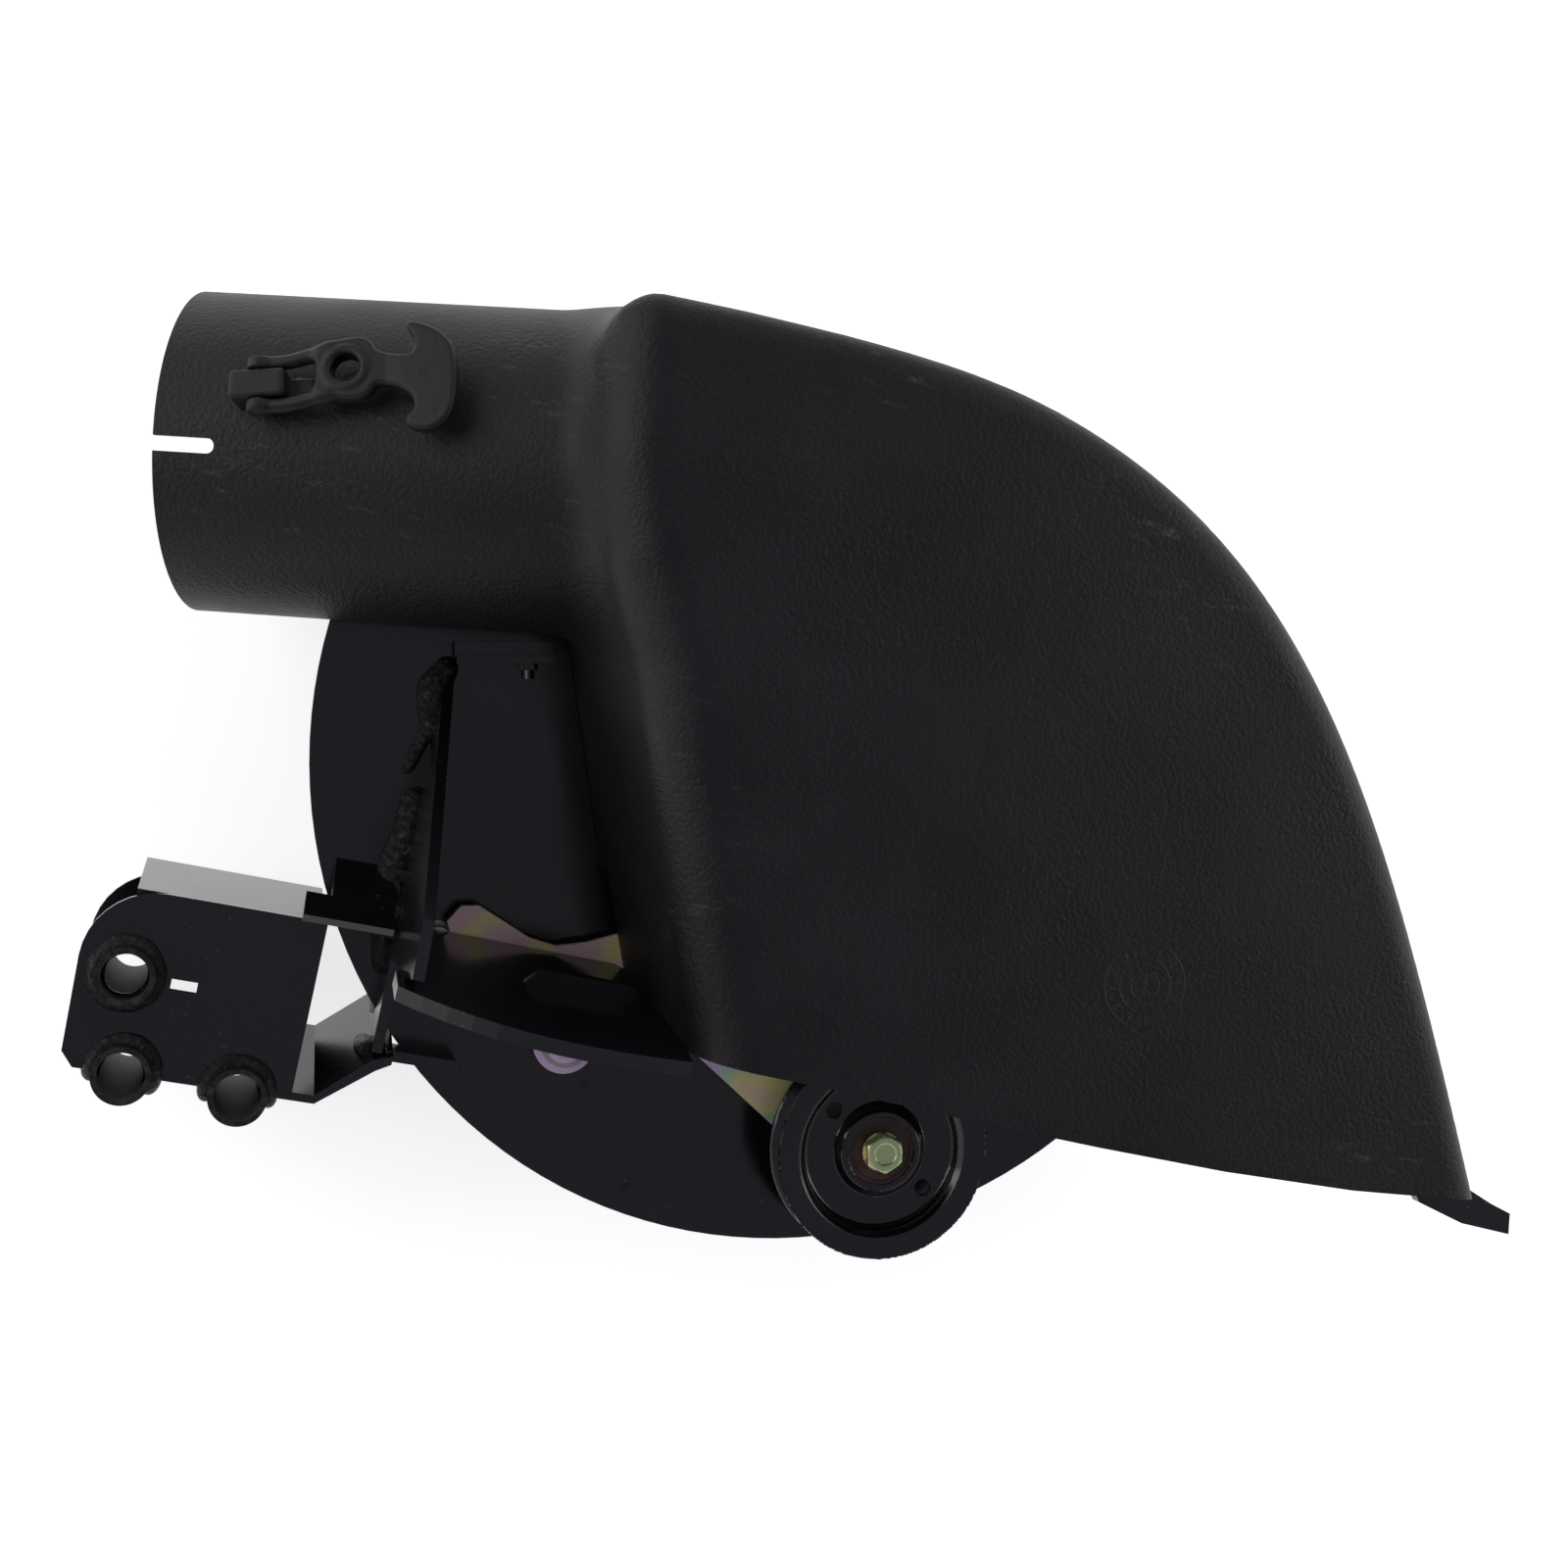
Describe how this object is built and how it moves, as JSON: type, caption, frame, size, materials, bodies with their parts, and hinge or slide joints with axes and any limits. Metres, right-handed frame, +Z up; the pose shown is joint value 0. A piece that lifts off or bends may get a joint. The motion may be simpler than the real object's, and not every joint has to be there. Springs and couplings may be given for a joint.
{
  "type": "mower bagger blower and boot",
  "caption": "Belt-driven blower can with a moulded horn-shaped boot and round outlet tube, sprung idler pulley, rubber draw latch and welded hitch bracket.",
  "frame": {"origin": "on the blower's spindle axis, in the plane of the housing floor's underside (centre of the air inlet)", "axes": "+Z up along the spindle and the hitch bushings, +X along the boot's mouth away from the outlet tube, +Y from the mouth towards the boot's crown"},
  "size_m": [0.8304, 0.507, 0.297],
  "materials": {
    "black_paint": "gloss black powder coat over sheet steel, rough at the welds",
    "moulded_polyethylene": "pebble-grained black polyethylene with faint scuffs",
    "latch_rubber": "moulded black rubber",
    "yellow_zinc": "yellow dichromate zinc, iridescent gold, pink and green",
    "bare_steel": "clear zinc or bright steel",
    "bearing_seal": "brown-black rubber bearing seal"
  },
  "bodies": {
    "housing": {"housing_floor": "black_paint", "housing_wrap": "black_paint", "housing_top_plate": "black_paint", "inlet_ring": "black_paint", "plate_rivets": "black_paint", "outlet_flange": "black_paint", "flange_bolts": "black_paint", "spindle_housing": "black_paint", "spindle_bolts": "bare_steel", "upper_bearing": "bare_steel", "lower_bearing": "bare_steel", "belt_guard": "black_paint", "pivot_bushing": "bare_steel", "pivot_washer": "bare_steel", "pivot_bolt": "yellow_zinc", "idler_spring": "bare_steel", "stop_pin": "bare_steel", "side_gusset": "black_paint", "upright_plate": "black_paint", "upright_rib": "black_paint", "weld_beads": "black_paint", "hitch_front_plate": "black_paint", "hitch_rear_plate": "black_paint", "hitch_top_flange": "black_paint", "hitch_bushing_upper": "black_paint", "hitch_bushing_lower": "black_paint", "hitch_bushing_inner": "black_paint", "hitch_link_plate": "black_paint", "lower_brace": "black_paint", "front_rail": "black_paint", "boot_shell": "moulded_polyethylene", "boot_bolts": "bare_steel", "latch_base": "black_paint", "latch_rivets": "bare_steel", "latch_pin": "bare_steel"},
    "impeller": {"spindle_shaft": "bare_steel", "driven_pulley": "black_paint", "pulley_nut": "bare_steel", "impeller_plate": "black_paint", "impeller_hub": "black_paint", "impeller_blades": "black_paint", "impeller_bolt": "bare_steel"},
    "idler": {"idler_arm": "yellow_zinc", "idler_bolt": "yellow_zinc", "idler_spacer": "bare_steel", "idler_nut": "yellow_zinc"},
    "idler_wheel": {"idler_pulley": "black_paint", "idler_bearing": "bearing_seal"},
    "latch": {"latch_strap": "latch_rubber"}
  },
  "joints": [
    {"name": "impeller_spin", "type": "hinge", "parent": "housing", "child": "impeller", "pos_m": [0, 0, 0.1], "axis": [0, 0, 1], "continuous": true},
    {"name": "idler_arm_pivot", "type": "hinge", "parent": "housing", "child": "idler", "pos_m": [-0.116, -0.131, 0.126], "axis": [0, 0, 1], "range_deg": [-14, 0], "stiffness_Nm_per_rad": 12, "springref_deg": 17.19},
    {"name": "idler_wheel_spin", "type": "hinge", "parent": "idler", "child": "idler_wheel", "pos_m": [0.078, -0.16, 0.146], "axis": [0, 0, 1], "continuous": true},
    {"name": "latch_swing", "type": "hinge", "parent": "housing", "child": "latch", "pos_m": [-0.35319, 0.18598, 0.20846], "axis": [0.1567, -0.942, 0.2967], "range_deg": [0, 170]}
  ]
}
